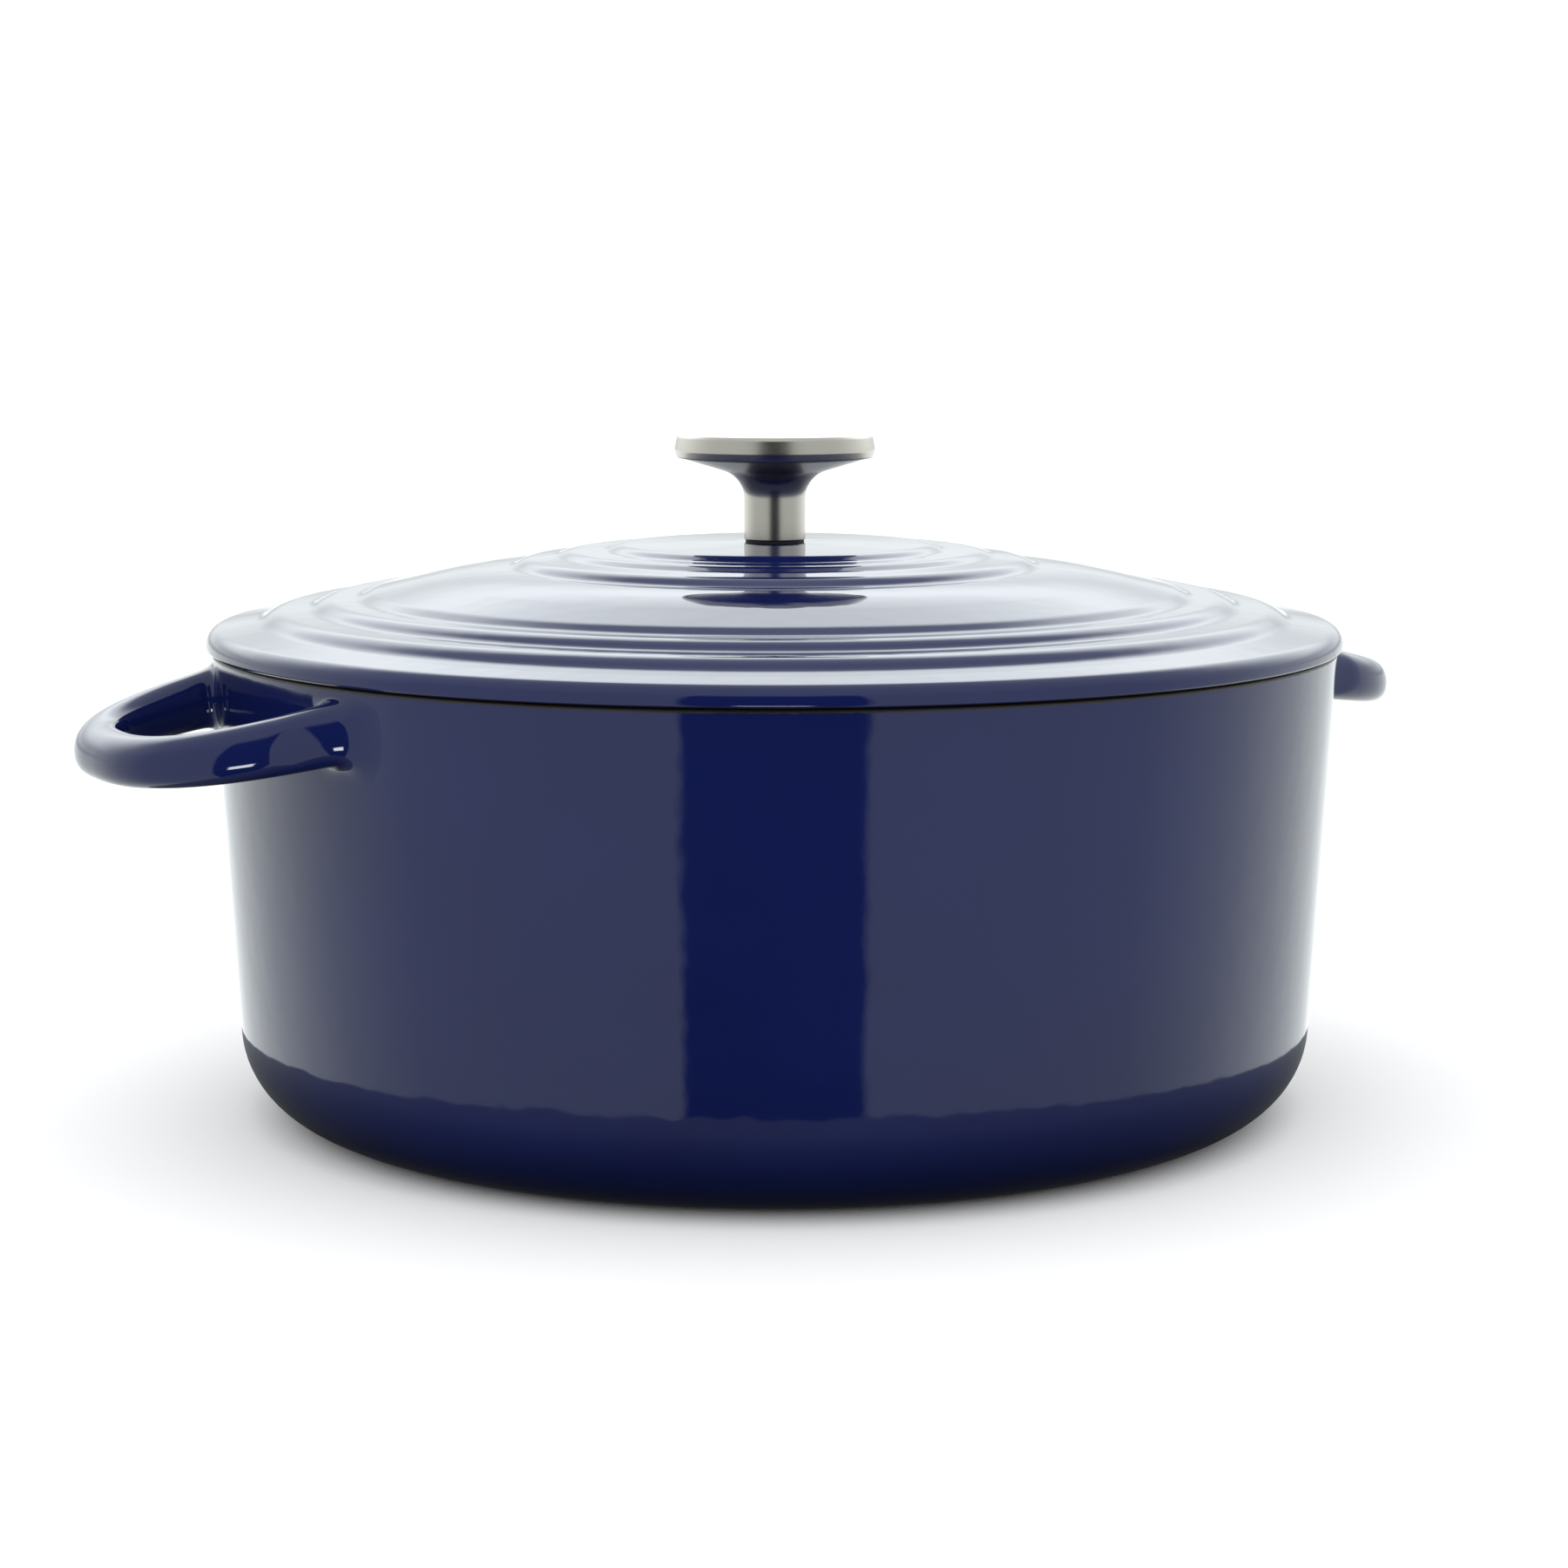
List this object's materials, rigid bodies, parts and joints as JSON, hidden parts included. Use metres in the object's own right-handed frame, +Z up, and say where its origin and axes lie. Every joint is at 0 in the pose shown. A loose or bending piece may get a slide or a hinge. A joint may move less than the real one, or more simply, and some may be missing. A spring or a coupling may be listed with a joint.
{
  "type": "dutch oven",
  "caption": "Round enamelled cast iron dutch oven with two loop handles and a terraced lift-off lid with a steel knob.",
  "frame": {"origin": "centre of the base, on the surface that the pot stands on", "axes": "+Z up along the pot's axis; +X through the two loop handles; +Y square to both"},
  "size_m": [0.342, 0.27, 0.162],
  "materials": {
    "enamelled_iron": "glossy cobalt blue vitreous enamel over cast iron, matte black on the rim and the lid's seat",
    "knob_steel": "satin brushed stainless steel",
    "fastener_steel": "plain stainless steel",
    "gasket_rubber": "matte black silicone rubber"
  },
  "bodies": {
    "pot": {"pot": "enamelled_iron"},
    "lid": {"lid": "enamelled_iron", "knob_cap": "knob_steel", "knob_stem": "knob_steel", "threaded_insert": "fastener_steel", "knob_gasket": "gasket_rubber", "flat_washer": "fastener_steel", "spring_washer": "fastener_steel", "knob_screw": "fastener_steel"}
  },
  "joints": [
    {"name": "lid_lift", "type": "slide", "parent": "pot", "child": "lid", "axis": [0, 0, 1], "range_m": [0, 0.15]}
  ]
}
